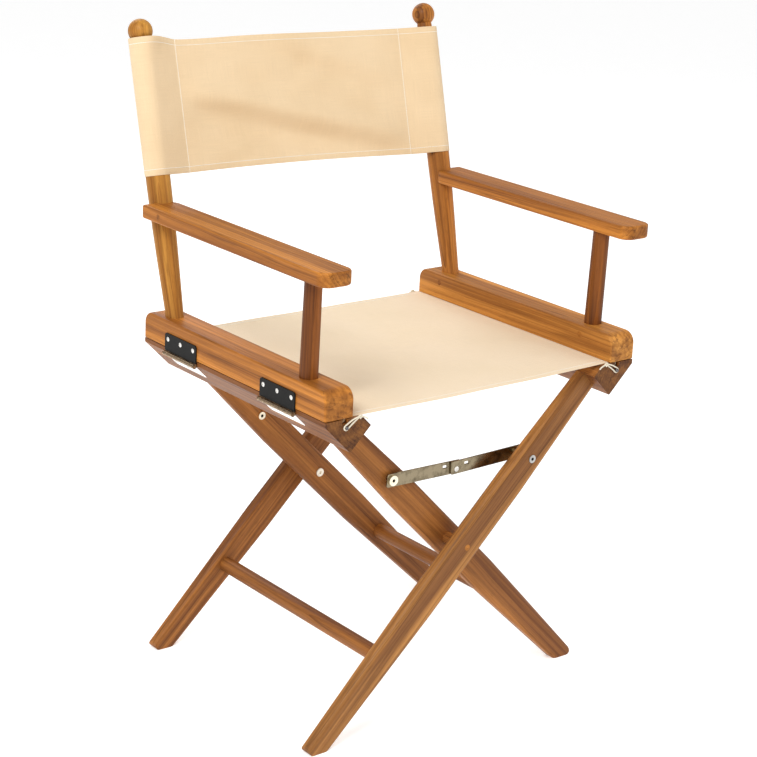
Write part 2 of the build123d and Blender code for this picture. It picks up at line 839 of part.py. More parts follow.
# legs
frame_bolts = {1: brace_bolts(1), -1: brace_bolts(-1)}
save(frame_bolts[1], "brace_bolts_outer")
save(frame_bolts[-1], "brace_bolts_inner")
leg_tenons = {1: [], -1: []}
for end, out in ENDS.items():
    outer_back = out * outer_leg_face if out > 0 else out * (outer_leg_face - leg_thickness)
    inner_back = out * inner_leg_face if out > 0 else out * (inner_leg_face - leg_thickness)
    for name, side, back_y in (("outer", 1, outer_back), ("inner", -1, inner_back)):
        blank = leg(side, back_y)
        leg_tenons[side].append(blank)
        with BuildPart() as bored:
            add(blank.part)
            add(stretchers[name].part, mode=Mode.SUBTRACT)
            add(frame_bolts[side].part, mode=Mode.SUBTRACT)
            if side > 0:
                add(bolts.part, mode=Mode.SUBTRACT)
                add(plugs.part, mode=Mode.SUBTRACT)
            else:
                bore(0, pivot_height, pivot_sleeve_radius + running_clearance,
                     out * (inner_leg_face + 1), out * (inner_leg_face - leg_thickness - 1))
        save(bored, f"leg_{name}_{end}")

# everything that comes once on each side
for name, side in SIDES.items():
    lower_screws = hinge_screws(side, "lower")
    upper_screws = hinge_screws(side, "upper")
    save(lower_screws, f"hinge_screws_lower_{name}")
    save(upper_screws, f"hinge_screws_upper_{name}")
    for end, y in (("front", hinge_front_at), ("back", hinge_back_at)):
        save(hinge_leaf(side, y, "lower", lower_screws), f"hinge_lower_{name}_{end}")
        save(hinge_leaf(side, y, "upper", upper_screws), f"hinge_upper_{name}_{end}")
    save(hinge_pins(side), f"hinge_pins_{name}")

    end_screws = tie_screws(side)
    save(end_screws, f"tie_screws_{name}")
    with BuildPart() as rail:
        add(rail_blank(side).part)
        for tenoned in leg_tenons[side]:
            add(tenoned.part, mode=Mode.SUBTRACT)
        add(lower_screws.part, mode=Mode.SUBTRACT)
        add(end_screws.part, mode=Mode.SUBTRACT)
    save(rail, f"seat_rail_{name}")
    save(seat_rod(side), f"seat_rod_{name}")
    save(seat_hem(side), f"seat_hem_{name}")

    pins = wood_pins(side)
    save(pins, f"wood_pins_{name}")
    front = front_post(side, pins)
    back = back_post(side, pins)
    save(front, f"front_post_{name}")
    save(back, f"back_post_{name}")
    save(arm_base(side, (front, back, pins, upper_screws)), f"arm_base_{name}")
    save(armrest(side, (front, back, pins)), f"armrest_{name}")
    save(back_sleeve(side), f"back_sleeve_{name}")

ties_left = left_seat_ties()
with BuildPart() as ties_right:
    mirror(ties_left.part, about=Plane.YZ)
save(ties_left, "seat_ties_left")
save(ties_right, "seat_ties_right")
save(seat_panel(), "seat_canvas")
save(back_panel(), "back_canvas")

# folding braces
for end, out in ENDS.items():
    for name, side in SIDES.items():
        save(brace_link(side, out), f"brace_{end}_{name}")
        save(rivet_half(side, out), f"brace_rivet_{end}_{name}")
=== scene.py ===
"""Looks of the folding director's chair: oiled teak, cream canvas, brass and steel.

Metres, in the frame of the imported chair: -Y is the front, +Z is up.
"""

import math

import bpy
from mathutils import Matrix, Vector


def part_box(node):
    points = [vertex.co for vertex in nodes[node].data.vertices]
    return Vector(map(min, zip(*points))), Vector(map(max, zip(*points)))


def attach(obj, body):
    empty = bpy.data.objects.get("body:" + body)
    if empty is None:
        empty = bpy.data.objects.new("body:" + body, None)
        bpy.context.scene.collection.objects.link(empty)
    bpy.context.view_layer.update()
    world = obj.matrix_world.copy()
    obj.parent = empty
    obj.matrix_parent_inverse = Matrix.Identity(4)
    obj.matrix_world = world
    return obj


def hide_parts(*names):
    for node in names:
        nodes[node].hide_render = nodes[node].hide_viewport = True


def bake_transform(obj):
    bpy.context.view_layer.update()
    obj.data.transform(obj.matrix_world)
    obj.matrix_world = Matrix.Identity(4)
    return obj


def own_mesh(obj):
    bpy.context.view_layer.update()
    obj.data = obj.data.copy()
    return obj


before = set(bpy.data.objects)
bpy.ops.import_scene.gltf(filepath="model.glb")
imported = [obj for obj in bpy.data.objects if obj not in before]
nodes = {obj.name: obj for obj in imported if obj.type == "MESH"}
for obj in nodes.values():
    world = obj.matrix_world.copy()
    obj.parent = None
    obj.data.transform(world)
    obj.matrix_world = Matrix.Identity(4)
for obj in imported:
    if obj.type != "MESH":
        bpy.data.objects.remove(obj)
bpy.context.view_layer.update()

SIDES = {"right": 1, "left": -1}

# ---------------------------------------------------------------- camera
camera_place = Vector((-1.6597, -2.0627, 1.2704))
camera_right = Vector((0.78342, -0.61964, 0.04796))
camera_up = Vector((0.15085, 0.26444, 0.95253))

camera_data = bpy.data.cameras.new("camera")
camera_data.sensor_width = 36.0
camera_data.lens = 95.5
camera_data.shift_x = -0.0108
camera_data.shift_y = -0.0201
camera = bpy.data.objects.new("camera", camera_data)
bpy.context.scene.collection.objects.link(camera)
turned = Matrix((camera_right, camera_up, camera_right.cross(camera_up))).transposed()
camera.matrix_world = Matrix.Translation(camera_place) @ turned.to_4x4()
bpy.context.scene.camera = camera


# ---------------------------------------------------------------- shader helpers
class Graph:
    """Adds shader nodes to one new material and joins them."""

    def __init__(self, name):
        self.material = bpy.data.materials.new(name)
        self.material.use_nodes = True
        self.tree = self.material.node_tree
        self.shader = self.tree.nodes["Principled BSDF"]

    def put(self, socket, value):
        if isinstance(value, bpy.types.NodeSocket):
            self.tree.links.new(value, socket)
        else:
            socket.default_value = value

    def add(self, kind, inputs, **settings):
        node = self.tree.nodes.new(kind)
        for key, value in settings.items():
            setattr(node, key, value)
        for key, value in inputs.items():
            self.put(node.inputs[key], value)
        return node

    def math(self, operation, a, b=0.0):
        return self.add("ShaderNodeMath", {0: a, 1: b}, operation=operation).outputs[0]

    def vector(self, operation, a, b):
        node = self.add("ShaderNodeVectorMath", {0: a, 1: b}, operation=operation)
        return node.outputs["Vector"]

    def mix(self, factor, a, b, blend="MIX"):
        inputs = {0: factor, 6: a, 7: b}
        node = self.add("ShaderNodeMix", inputs, data_type="RGBA", blend_type=blend)
        return node.outputs[2]

    def noise(self, vector, scale=1.0, detail=2.0, roughness=0.5):
        inputs = {"Vector": vector, "Scale": scale, "Detail": detail, "Roughness": roughness}
        return self.add("ShaderNodeTexNoise", inputs).outputs[0]

    def stretch(self, low, high, value, to_low=0.0, to_high=1.0):
        inputs = {0: value, 1: low, 2: high, 3: to_low, 4: to_high}
        return self.add("ShaderNodeMapRange", inputs, clamp=True).outputs[0]

    def bump(self, height, distance, strength=1.0, normal=None):
        inputs = {"Height": height, "Distance": distance, "Strength": strength}
        node = self.add("ShaderNodeBump", inputs)
        if normal is not None:
            self.put(node.inputs["Normal"], normal)
        return node.outputs[0]

    def near_axis(self, coords, node, reach):
        """1 close about the line along Y through the middle of a CAD node, else 0."""
        low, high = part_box(node)
        middle = (low + high) / 2
        off_axis = self.vector("SUBTRACT", coords, (middle.x, 0.0, middle.z))
        flat = self.vector("MULTIPLY", off_axis, (1.0, 0.0, 1.0))
        length = self.add("ShaderNodeVectorMath", {0: flat}, operation="LENGTH")
        return self.stretch(reach, reach + 0.0003, length.outputs["Value"], 1.0, 0.0)

    def finish(self, **values):
        """Set or join the shader's inputs, whose names have underscores for spaces."""
        for key, value in values.items():
            self.put(self.shader.inputs[key.replace("_", " ")], value)
        return self.material


def shade(value, red=1.0, green=1.0, blue=1.0):
    return (value * red, value * green, value * blue, 1.0)


def scaled(colour, factor):
    return (colour[0] * factor, colour[1] * factor, colour[2] * factor, 1.0)


# ---------------------------------------------------------------- wood
def teak(name, node, grain, light, dark, pith, ring_gap=0.0045, contrast=1.0, end_tone=0.75):
    """Oiled teak whose growth rings run about an axis along the grain, near the board."""
    g = Graph(name)
    turn = Vector(grain).rotation_difference(Vector((0, 0, 1))).to_euler()
    low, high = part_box(node)
    shift = Vector(pith) - turn.to_matrix() @ ((low + high) / 2)
    coords = g.add("ShaderNodeTexCoord", {}).outputs["Object"]
    mapping = {"Vector": coords, "Rotation": turn, "Location": shift}
    board = g.add("ShaderNodeMapping", mapping).outputs[0]

    slow = g.vector("MULTIPLY", board, (7.0, 7.0, 1.3))
    wobble = g.add("ShaderNodeTexNoise", {"Vector": slow, "Scale": 1.0, "Detail": 3.0}).outputs[1]
    wobble = g.vector("SUBTRACT", wobble, (0.5, 0.5, 0.5))
    wobble = g.vector("MULTIPLY", wobble, (0.022, 0.022, 0.0))
    bent = g.vector("ADD", board, wobble)

    ring_inputs = {"Vector": bent, "Scale": 2 * math.pi / (20 * ring_gap), "Distortion": 0.0}
    rings = g.add("ShaderNodeTexWave", ring_inputs, wave_type="RINGS",
                  rings_direction="Z", wave_profile="SAW").outputs[1]
    soft_rings = g.math("POWER", rings, 1.6)
    thin_rings = g.math("POWER", rings, 9.0)
    bands = g.noise(g.vector("MULTIPLY", bent, (60.0, 60.0, 1.4)), detail=2.0)
    picked = g.noise(g.vector("MULTIPLY", bent, (85.0, 85.0, 0.9)), detail=1.0)
    streaks = g.noise(g.vector("MULTIPLY", bent, (260.0, 260.0, 3.5)), detail=4.0, roughness=0.65)
    fibres = g.noise(g.vector("MULTIPLY", board, (1100.0, 1100.0, 16.0)), detail=2.0)
    pores = g.noise(g.vector("MULTIPLY", board, (1700.0, 1700.0, 70.0)), detail=1.0)
    pores = g.stretch(0.60, 0.74, pores)
    veins = g.noise(g.vector("MULTIPLY", bent, (75.0, 75.0, 1.3)), detail=2.0)
    veins = g.stretch(0.0, 0.026, g.math("ABSOLUTE", g.math("SUBTRACT", veins, 0.5)), 1.0, 0.0)
    veins = g.math("MULTIPLY", veins, g.stretch(0.40, 0.62, picked))

    tone = g.math("ADD", g.stretch(0.36, 0.64, bands, 0.0, 0.70),
                  g.math("MULTIPLY", soft_rings, 0.30 * contrast))
    colour = g.mix(tone, light, dark)
    few = g.math("MULTIPLY", thin_rings, g.stretch(0.50, 0.64, picked, 0.08, 0.85 * contrast))
    colour = g.mix(few, colour, scaled(dark, 0.55))
    colour = g.mix(g.math("MULTIPLY", veins, 0.7), colour, scaled(dark, 0.5))
    lines = g.mix(g.stretch(0.44, 0.70, streaks), shade(1.08), shade(0.62, 1.0, 0.92, 0.82))
    colour = g.mix(0.8, colour, lines, "MULTIPLY")
    hairs = g.mix(g.stretch(0.40, 0.66, fibres), shade(1.04), shade(0.90))
    colour = g.mix(1.0, colour, hairs, "MULTIPLY")
    colour = g.mix(g.math("MULTIPLY", pores, 0.35), colour, scaled(dark, 0.45))

    facing = g.add("ShaderNodeTexCoord", {}).outputs["Normal"]
    end_on = g.add("ShaderNodeVectorMath", {0: facing, 1: grain}, operation="DOT_PRODUCT")
    end_on = g.stretch(0.80, 0.97, g.math("ABSOLUTE", end_on.outputs["Value"]))
    colour = g.mix(end_on, colour, g.mix(1.0, colour, shade(end_tone), "MULTIPLY"))

    roughness = g.stretch(0.35, 0.7, fibres, 0.43, 0.58)
    height = g.math("SUBTRACT", g.math("MULTIPLY", fibres, 0.35), pores)
    normal = g.bump(height, 0.0001, 0.5)
    return g.finish(Base_Color=colour, Roughness=roughness, Normal=normal,
                    Coat_Weight=0.05, Coat_Roughness=0.25, Specular_IOR_Level=0.15)


def paint(node, material):
    """Give a CAD node one material."""
    mesh = nodes[node].data
    mesh.materials.clear()
    mesh.materials.append(material)


legs_turn = math.radians(45.18)
along_leg = {side: (sign * math.sin(legs_turn), 0, math.cos(legs_turn))
             for side, sign in SIDES.items()}
lean = math.radians(14.5)
along_post = (0, math.sin(lean), math.cos(lean))
leg_light = (0.395, 0.152, 0.034, 1.0)
# front outer leg: paler teak, partly its own tone and partly painted highlight
pale_and_highlit_leg = (0.475, 0.215, 0.058, 1.0)
leg_dark = (0.120, 0.036, 0.010, 1.0)
arm_light = (0.570, 0.215, 0.034, 1.0)
# right arm base: paler teak, partly its own tone and partly painted light on its lit inner side
pale_and_lit_arm = (0.720, 0.310, 0.060, 1.0)
arm_dark = (0.225, 0.070, 0.010, 1.0)
# front posts: darker teak, partly the boards' own tone and partly painted shade of their
# front-facing sides
post_tone_and_shade = (0.275, 0.086, 0.013, 1.0)
post_dark_and_shade = (0.090, 0.026, 0.006, 1.0)
gold_light = (0.560, 0.265, 0.046, 1.0)
gold_dark = (0.270, 0.095, 0.014, 1.0)

boards = [
    # node, grain, light, dark, where the heart of the tree lies, ring gap, contrast
    ("leg_outer_front", along_leg["right"], pale_and_highlit_leg, leg_dark, (0.030, 0.055, 0.3), 0.0075, 0.45),
    ("leg_outer_back", along_leg["right"], leg_light, leg_dark, (0.050, -0.020, 1.3), 0.0070, 0.6),
    ("leg_inner_front", along_leg["left"], leg_light, leg_dark, (-0.060, 0.030, 2.1), 0.0080, 0.6),
    ("leg_inner_back", along_leg["left"], leg_light, leg_dark, (0.045, 0.060, 3.7), 0.0075, 0.6),
    ("seat_rail_right", (0, 1, 0), leg_light, leg_dark, (0.070, 0.020, 4.2), 0.0046, 0.8),
    ("seat_rail_left", (0, 1, 0), leg_light, leg_dark, (-0.060, 0.045, 5.9), 0.0046, 0.8),
    ("stretcher_outer", (0, 1, 0), leg_light, leg_dark, (0.040, 0.020, 6.4), 0.0040, 0.8),
    ("stretcher_inner", (0, 1, 0), leg_light, leg_dark, (0.030, 0.040, 7.7), 0.0040, 0.8),
    ("arm_base_right", (0, 1, 0), pale_and_lit_arm, arm_dark, (0.015, 0.052, 8.1), 0.0070, 0.55),
    ("arm_base_left", (0, 1, 0), arm_light, arm_dark, (0.020, -0.062, 9.4), 0.0075, 0.55),
    ("armrest_right", (0, 1, 0), arm_light, arm_dark, (0.060, 0.030, 10.6), 0.0050, 0.8),
    ("armrest_left", (0, 1, 0), arm_light, arm_dark, (-0.050, 0.036, 11.3), 0.0050, 0.8),
    ("front_post_right", (0, 0, 1), post_tone_and_shade, post_dark_and_shade, (0.040, 0.030, 12.2), 0.0040, 0.8),
    ("front_post_left", (0, 0, 1), post_tone_and_shade, post_dark_and_shade, (-0.030, 0.040, 13.4), 0.0040, 0.8),
    ("back_post_right", along_post, arm_light, leg_dark, (0.050, 0.020, 14.8), 0.0042, 0.9),
    ("back_post_left", along_post, gold_light, gold_dark, (0.030, 0.045, 15.1), 0.0048, 0.9),
    ("wood_pins_right", (1, 0, 0), arm_light, arm_dark, (0.010, 0.010, 16.0), 0.0030, 0.8),
    ("wood_pins_left", (1, 0, 0), arm_light, arm_dark, (0.010, 0.010, 17.0), 0.0030, 0.8),
    ("pivot_plugs", (0, 1, 0), arm_light, arm_dark, (0.010, 0.010, 18.0), 0.0030, 0.8),
    ("pivot_spacers", (0, 1, 0), leg_light, leg_dark, (0.010, 0.010, 19.0), 0.0030, 0.8),
    ("seat_rod_right", (0, 1, 0), gold_light, gold_dark, (0.010, 0.010, 20.0), 0.0030, 0.6),
    ("seat_rod_left", (0, 1, 0), gold_light, gold_dark, (0.010, 0.010, 21.0), 0.0030, 0.6),
]
for node, grain, light, dark, pith, gap, contrast in boards:
    end_tone = 0.55 if node.startswith("seat_rail") else 0.82
    paint(node, teak("teak_" + node, node, grain, light, dark, pith, gap, contrast, end_tone))


# ---------------------------------------------------------------- metal
def metal(name, colour, roughness, brushed=(400.0, 400.0, 400.0), tarnish=None, share=1.0,
          shaded_socket_of=None):
    """Metal with fine scratches and uneven polish; the sockets of the named bolts get a near-black
    painted shade.
    """
    g = Graph(name)
    coords = g.add("ShaderNodeTexCoord", {}).outputs["Object"]
    scratches = g.noise(g.vector("MULTIPLY", coords, brushed), detail=3.0, roughness=0.65)
    blotches = g.noise(coords, scale=90.0, detail=3.0)
    rough = g.stretch(0.3, 0.75, scratches, roughness, roughness + 0.10)
    dull = scaled(colour, 0.7) if tarnish is None else tarnish
    tint = g.mix(g.stretch(0.45, 0.75, blotches), colour, dull)
    if shaded_socket_of is not None:
        # painted shade: near black in the sockets of the bolt heads
        tint = g.mix(g.near_axis(coords, shaded_socket_of, socket_shade_reach), tint, shade(0.02))
    normal = g.bump(scratches, 0.00004, 0.35)
    return g.finish(Base_Color=tint, Metallic=share, Roughness=rough, Normal=normal)


def hinge_leaf(name, side, plate, metallic, roughness, gleam):
    """Plate of one finish whose knuckles, close about the pin, are mottled bronze."""
    g = Graph(name)
    coords = g.add("ShaderNodeTexCoord", {}).outputs["Object"]
    waves = g.noise(coords, scale=120.0, detail=2.0)
    spots = g.noise(coords, scale=700.0, detail=3.0)
    knuckle = g.near_axis(coords, f"hinge_pins_{side}", knuckle_reach)
    bronze = g.mix(g.stretch(0.40, 0.62, spots), shade(1.0, 0.46, 0.33, 0.20),
                   shade(1.0, 0.10, 0.065, 0.045))
    flat_tint = g.mix(g.stretch(0.4, 0.7, waves), plate, scaled(plate, 0.8))
    tint = g.mix(knuckle, flat_tint, bronze)
    metal_share = g.stretch(0.0, 1.0, knuckle, metallic, 1.0)
    rough = g.stretch(0.0, 1.0, knuckle, roughness, 0.34)
    normal = g.bump(waves, 0.0001, 0.3)
    return g.finish(Base_Color=tint, Metallic=metal_share, Roughness=rough, Normal=normal,
                    Specular_IOR_Level=gleam)


socket_shade_reach = 0.0021        # radius of the near-black painted shade in a bolt head's socket
knuckle_reach = 0.0036       # radius of the hinge knuckles
brass = metal("brass", (0.78, 0.62, 0.38, 1.0), 0.17)
old_brass = metal("old_brass", (0.46, 0.34, 0.20, 1.0), 0.28, tarnish=(0.16, 0.11, 0.07, 1.0))
steel = metal("screw_steel", (0.88, 0.86, 0.82, 1.0), 0.45, share=0.55)
strap_metal = metal("strap_metal", (0.27, 0.222, 0.145, 1.0), 0.16, brushed=(60.0, 900.0, 900.0),
                    tarnish=(0.08, 0.062, 0.037, 1.0))
nickel = metal("nickel", (0.46, 0.45, 0.43, 1.0), 0.30, shaded_socket_of="brace_bolts_outer")
ring_metal = metal("ring_metal", (0.90, 0.84, 0.72, 1.0), 0.34, share=0.6)
bright_bolt = metal("bright_bolt", (0.95, 0.86, 0.66, 1.0), 0.25, shaded_socket_of="brace_bolts_inner")
dark_screw = metal("dark_screw", (0.16, 0.15, 0.15, 1.0), 0.35)
lacquer_black = (0.009, 0.0085, 0.008, 1.0)
bright_zinc = (0.95, 0.94, 0.93, 1.0)

for side in SIDES:
    black_leaf = hinge_leaf(f"black_leaf_{side}", side, lacquer_black, 0.0, 0.42, 0.10)
    bright_leaf = hinge_leaf(f"bright_leaf_{side}", side, bright_zinc, 1.0, 0.14, 0.5)
    for end in ("front", "back"):
        paint(f"hinge_upper_{side}_{end}", black_leaf)
        paint(f"hinge_lower_{side}_{end}", bright_leaf)
        paint(f"brace_{end}_{side}", strap_metal)
        paint(f"brace_rivet_{end}_{side}", steel)
    paint(f"hinge_pins_{side}", old_brass)
    paint(f"hinge_screws_upper_{side}", steel)
    paint(f"hinge_screws_lower_{side}", steel)
    paint(f"tie_screws_{side}", dark_screw)
paint("pivot_bolts", ring_metal)
paint("pivot_sleeve_nuts", ring_metal)
paint("brace_spacers", brass)
paint("brace_bolts_outer", nickel)
paint("brace_bolts_inner", bright_bolt)


# ---------------------------------------------------------------- canvas
def canvas(name, colour, shaded):
    """Cotton canvas: plain weave of warp and weft threads, read from the cloth's own UV, with
    painted shade in the gaps between the threads.
    """
    g = Graph(name)
    uv = g.add("ShaderNodeUVMap", {}, uv_map="cloth").outputs[0]
    pitch = 0.00062
    threads = g.vector("MULTIPLY", uv, (1 / pitch, 1 / pitch, 1.0))
    split = g.add("ShaderNodeSeparateXYZ", {0: threads})
    warp = g.math("ABSOLUTE", g.math("SINE", g.math("MULTIPLY", split.outputs[0], math.pi)))
    weft = g.math("ABSOLUTE", g.math("SINE", g.math("MULTIPLY", split.outputs[1], math.pi)))
    over = g.add("ShaderNodeTexChecker", {"Vector": threads, "Scale": 1.0}).outputs[1]
    height = g.add("ShaderNodeMix", {0: over, 2: warp, 3: weft}, data_type="FLOAT").outputs[0]
    slub_warp = g.noise(g.vector("MULTIPLY", uv, (1500.0, 24.0, 1.0)), detail=2.0)
    slub_weft = g.noise(g.vector("MULTIPLY", uv, (24.0, 1500.0, 1.0)), detail=2.0)
    slubs = g.math("ADD", slub_warp, slub_weft)
    cloud = g.noise(uv, scale=9.0, detail=3.0)
    tone = g.mix(g.stretch(0.35, 0.7, cloud), colour, shaded)
    # painted shade: the cloth is darker down between the threads, where shade falls
    painted_gap_shade = g.mix(g.stretch(0.0, 0.55, height), shade(0.86, 1.0, 0.98, 0.94), shade(1.0))
    tone = g.mix(1.0, tone, painted_gap_shade, "MULTIPLY")
    uneven = g.mix(g.stretch(0.75, 1.25, slubs), shade(0.955), shade(1.035))
    tone = g.mix(1.0, tone, uneven, "MULTIPLY")
    relief = g.math("ADD", height, g.math("MULTIPLY", slubs, 0.7))
    normal = g.bump(relief, 0.00012, 0.6)
    rough = g.stretch(0.0, 1.0, height, 0.92, 0.80)
    return g.finish(Base_Color=tone, Roughness=rough, Normal=normal,
                    Sheen_Weight=0.25, Sheen_Roughness=0.5, Sheen_Tint=shade(1.0, 1.0, 0.95, 0.85),
                    Specular_IOR_Level=0.25)


def yarn(name, colour):
    """Twisted cotton, for the stitches and the strings."""
    g = Graph(name)
    coords = g.add("ShaderNodeTexCoord", {}).outputs["Object"]
    fuzz = g.noise(coords, scale=2600.0, detail=2.0)
    tint = g.mix(g.stretch(0.3, 0.7, fuzz), scaled(colour, 0.8), colour)
    normal = g.bump(fuzz, 0.0001, 0.5)
    return g.finish(Base_Color=tint, Roughness=0.85, Normal=normal,
                    Sheen_Weight=0.3, Sheen_Roughness=0.5)


seat_cloth = canvas("seat_cloth", (0.880, 0.720, 0.520, 1.0), (0.850, 0.690, 0.480, 1.0))
back_cloth = canvas("back_cloth", (0.800, 0.610, 0.385, 1.0), (0.745, 0.550, 0.330, 1.0))
thread = yarn("thread", (0.98, 0.95, 0.88, 1.0))
string = yarn("string", (0.82, 0.74, 0.58, 1.0))


def link(name, mesh, *materials):
    """New object at the origin for a finished mesh."""
    piece = bpy.data.objects.new(name, mesh)
    bpy.context.scene.collection.objects.link(piece)
    for material in materials:
        mesh.materials.append(material)
    return piece


def applied(piece):
    """Replace a piece's mesh by what its modifiers make of it."""
    bpy.context.view_layer.update()
    seen = piece.evaluated_get(bpy.context.evaluated_depsgraph_get())
    mesh = bpy.data.meshes.new_from_object(seen)
    piece.modifiers.clear()
    old = piece.data
    piece.data = mesh
    bpy.data.meshes.remove(old)
    return piece


def walk(path):
    """Distance run along a path at each of its points."""
    run = [0.0]
    for a, b in zip(path, path[1:]):
        run.append(run[-1] + math.dist(a, b))
    return run


def normals(path):
    """Left-hand unit normal at each point of a path in a plane."""
    out = []
    for i in range(len(path)):
        a = path[max(i - 1, 0)]
        b = path[min(i + 1, len(path) - 1)]
        dx, dy = b[0] - a[0], b[1] - a[1]
        size = math.hypot(dx, dy) or 1.0
        out.append((-dy / size, dx / size))
    return out


def split_line(a, b, step):
    """Points from a to b, both ends included, about a step apart."""
    count = max(1, round(math.dist(a, b) / step))
    return [tuple(p + (q - p) * i / count for p, q in zip(a, b)) for i in range(count + 1)]


def cloth_piece(name, strands, rows, place, fold_share, thickness, material):
    """Cloth made of strands, paths across it, each swept through the same rows.

    A row is (how far up the cloth, how far behind its face), so rows that turn back
    behind the face make the folded hems at the ends.
    """
    verts, faces, uvs = [], [], []
    for strand in strands:
        start = len(verts)
        run = walk(strand)
        up = walk(rows)
        sides = normals(strand)
        for (v, behind), v_run in zip(rows, up):
            for (p, q), (nx, ny), u_run in zip(strand, sides, run):
                share = behind * fold_share(p, q)
                verts.append(place(p + nx * share, q + ny * share, v))
                uvs.append((strand[0][0] + u_run, v_run))
        wide = len(strand)
        for j in range(len(rows) - 1):
            for i in range(wide - 1):
                a = start + j * wide + i
                faces.append((a, a + 1, a + 1 + wide, a + wide))
    mesh = bpy.data.meshes.new(name)
    mesh.from_pydata(verts, [], faces)
    layer = mesh.uv_layers.new(name="cloth")
    for loop in mesh.loops:
        layer.data[loop.index].uv = uvs[loop.vertex_index]
    piece = link(name, mesh, material)
    shell = piece.modifiers.new("thickness", "SOLIDIFY")
    shell.thickness = thickness
    shell.offset = 0.0
    applied(piece)
    piece.data.shade_smooth()
    piece.data.set_sharp_from_angle(angle=math.radians(50))
    return piece


def stitches(name, lines, material, pitch, length, radius):
    """Rows of stitches made with geometry nodes along lines of points."""
    mesh = bpy.data.meshes.new(name)
    verts, edges = [], []
    for line in lines:
        start = len(verts)
        verts.extend(line)
        edges.extend((start + i, start + i + 1) for i in range(len(line) - 1))
    mesh.from_pydata(verts, edges, [])
    piece = link(name, mesh)
    tree = bpy.data.node_groups.new(name + "_nodes", "GeometryNodeTree")
    face = tree.interface
    face.new_socket("Geometry", in_out="INPUT", socket_type="NodeSocketGeometry")
    sockets = {}
    for label, value in (("Pitch", pitch), ("Length", length), ("Radius", radius)):
        socket = face.new_socket(label, in_out="INPUT", socket_type="NodeSocketFloat")
        sockets[label] = (socket, value)
    face.new_socket("Geometry", in_out="OUTPUT", socket_type="NodeSocketGeometry")
    add = tree.nodes.new
    join = tree.links.new
    start = add("NodeGroupInput")
    end = add("NodeGroupOutput")
    to_curve = add("GeometryNodeMeshToCurve")
    spaced = add("GeometryNodeCurveToPoints")
    spaced.mode = "LENGTH"
    strip = add("GeometryNodeCurvePrimitiveLine")
    strip.mode = "DIRECTION"
    strip.inputs["Direction"].default_value = (0, 0, 1)
    offset = add("ShaderNodeMath")
    offset.operation = "MULTIPLY"
    offset.inputs[1].default_value = -0.5
    place_at = add("ShaderNodeCombineXYZ")
    ring = add("GeometryNodeCurvePrimitiveCircle")
    ring.inputs["Resolution"].default_value = 6
    to_mesh = add("GeometryNodeCurveToMesh")
    to_mesh.inputs["Fill Caps"].default_value = True
    each = add("GeometryNodeInstanceOnPoints")
    real = add("GeometryNodeRealizeInstances")
    dress = add("GeometryNodeSetMaterial")
    dress.inputs["Material"].default_value = material
    join(start.outputs["Geometry"], to_curve.inputs[0])
    join(to_curve.outputs[0], spaced.inputs["Curve"])
    join(start.outputs["Pitch"], spaced.inputs["Length"])
    join(start.outputs["Length"], strip.inputs["Length"])
    join(start.outputs["Length"], offset.inputs[0])
    join(offset.outputs[0], place_at.inputs["Z"])
    join(place_at.outputs[0], strip.inputs["Start"])
    join(start.outputs["Radius"], ring.inputs["Radius"])
    join(strip.outputs[0], to_mesh.inputs["Curve"])
    join(ring.outputs[0], to_mesh.inputs["Profile Curve"])
    join(spaced.outputs["Points"], each.inputs["Points"])
    join(spaced.outputs["Rotation"], each.inputs["Rotation"])
    join(to_mesh.outputs[0], each.inputs["Instance"])
    join(each.outputs[0], real.inputs[0])
    join(real.outputs[0], dress.inputs[0])
    join(dress.outputs[0], end.inputs[0])
    maker = piece.modifiers.new("stitches", "NODES")
    maker.node_group = tree
    for socket, value in sockets.values():
        maker[socket.identifier] = value
    applied(piece)
    piece.data.shade_smooth()
    return piece


# ---------------------------------------------------------------- the seat
cloth_thickness = 0.0005
fold_gap = 0.00056          # between the middles of two layers at a hem
edge_turn = 0.0006          # the cloth turns over within this distance of its edge
stitch_pitch = 0.0031
stitch_length = 0.0026
stitch_in = 0.002           # a hem's stitches lie this far inside its inner edge
seat_low, seat_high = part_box("seat_canvas")
rod_low, rod_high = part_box("seat_rod_right")
rod_at = ((rod_low.x + rod_high.x) / 2, (rod_low.z + rod_high.z) / 2)
rod_radius = (rod_high.x - rod_low.x) / 2
rod_gap = 0.0002
loop_radius = rod_radius + rod_gap + cloth_thickness / 2
seat_top = rod_at[1] + loop_radius
seat_flap = 0.206           # from the middle to the inner edge of a hem under the seat
seat_step = 0.012
hem_edge = 0.219            # from the middle to where the cloth enters a hem
wrap_start, wrap_sweep, wrap_steps = -200, 290, 18
flap_end = 0.006            # the flap under the seat ends this far short of the rod's middle
back_overhang = 0.005       # the cloth reaches this far behind the plain CAD panel


def seat_side(side):
    """Path of the hem on one side, from under the seat, round the rod, to its top."""
    under = seat_top - fold_gap
    path = split_line((seat_flap, under), (rod_at[0] - flap_end, under), 0.004)
    for step in range(wrap_steps + 1):
        angle = math.radians(wrap_start + step * wrap_sweep / wrap_steps)
        path.append((rod_at[0] + loop_radius * math.cos(angle),
                     rod_at[1] + loop_radius * math.sin(angle)))
    return [(side * x, z) for x, z in path]


